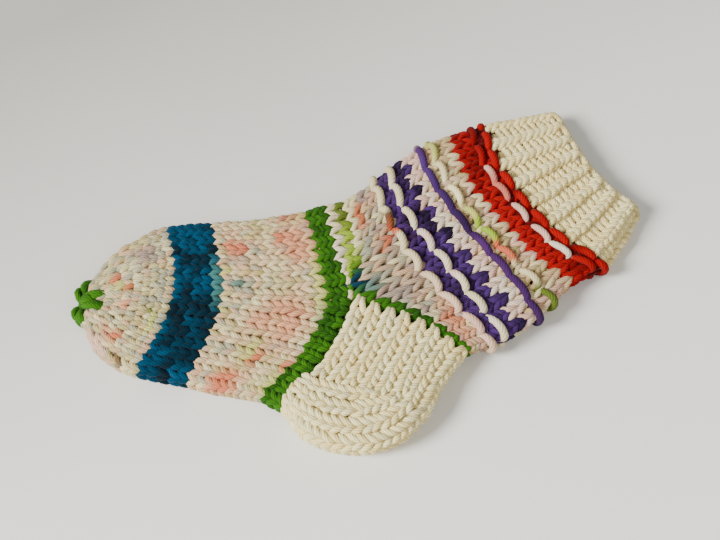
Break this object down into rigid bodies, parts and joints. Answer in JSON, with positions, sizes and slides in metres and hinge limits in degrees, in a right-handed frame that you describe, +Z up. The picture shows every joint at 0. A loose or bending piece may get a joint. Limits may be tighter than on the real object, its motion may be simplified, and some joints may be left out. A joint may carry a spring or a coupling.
{
  "type": "knitted baby sock",
  "caption": "Hand-knitted baby sock lying flat on its side, with ribbed cuff, striped leg with slipped float strands, heel flap, turned heel and gathered toe.",
  "frame": {"origin": "middle of the lying sock outline, on the surface it lies on", "axes": "+X from the toe towards the cuff along the longest extent, +Y from the heel towards the instep, +Z up through the flattened thickness"},
  "size_m": [0.1866, 0.1284, 0.0134],
  "materials": {
    "cream_wool": "matte",
    "variegated_wool": "matte",
    "green_wool": "matte",
    "lime_wool": "matte",
    "blue_wool": "matte",
    "purple_wool": "matte",
    "violet_wool": "matte",
    "white_wool": "matte",
    "red_wool": "matte",
    "pink_wool": "matte"
  },
  "bodies": {
    "foot": {"toe_tip": "green_wool", "toe_band": "variegated_wool", "blue_band": "blue_wool", "foot_band": "variegated_wool", "green_gusset_band": "green_wool", "instep_rows": "lime_wool", "heel_flap": "cream_wool", "heel_turn": "cream_wool", "green_ankle_row": "green_wool", "lower_leg_band": "variegated_wool"},
    "leg": {"lower_white_float_strand": "white_wool", "dark_purple_row": "purple_wool", "upper_white_float_strand": "white_wool", "purple_band": "purple_wool", "white_fleck_row": "white_wool", "purple_float_strand": "violet_wool", "lime_float_strand": "lime_wool", "upper_leg_band": "variegated_wool", "red_band": "red_wool", "pink_float_strand": "pink_wool", "red_float_strand": "red_wool"},
    "cuff": {"cuff_rib": "cream_wool"}
  },
  "joints": [
    {"name": "ankle_fold", "type": "hinge", "parent": "foot", "child": "leg", "pos_m": [0.01847, 0.00149, 0.014], "axis": [0.5107, -0.8597, 0], "range_deg": [0, 120]},
    {"name": "cuff_fold", "type": "hinge", "parent": "leg", "child": "cuff", "pos_m": [0.05802, 0.02791, 0.0138], "axis": [0.5523, -0.8337, 0], "range_deg": [0, 160]}
  ]
}
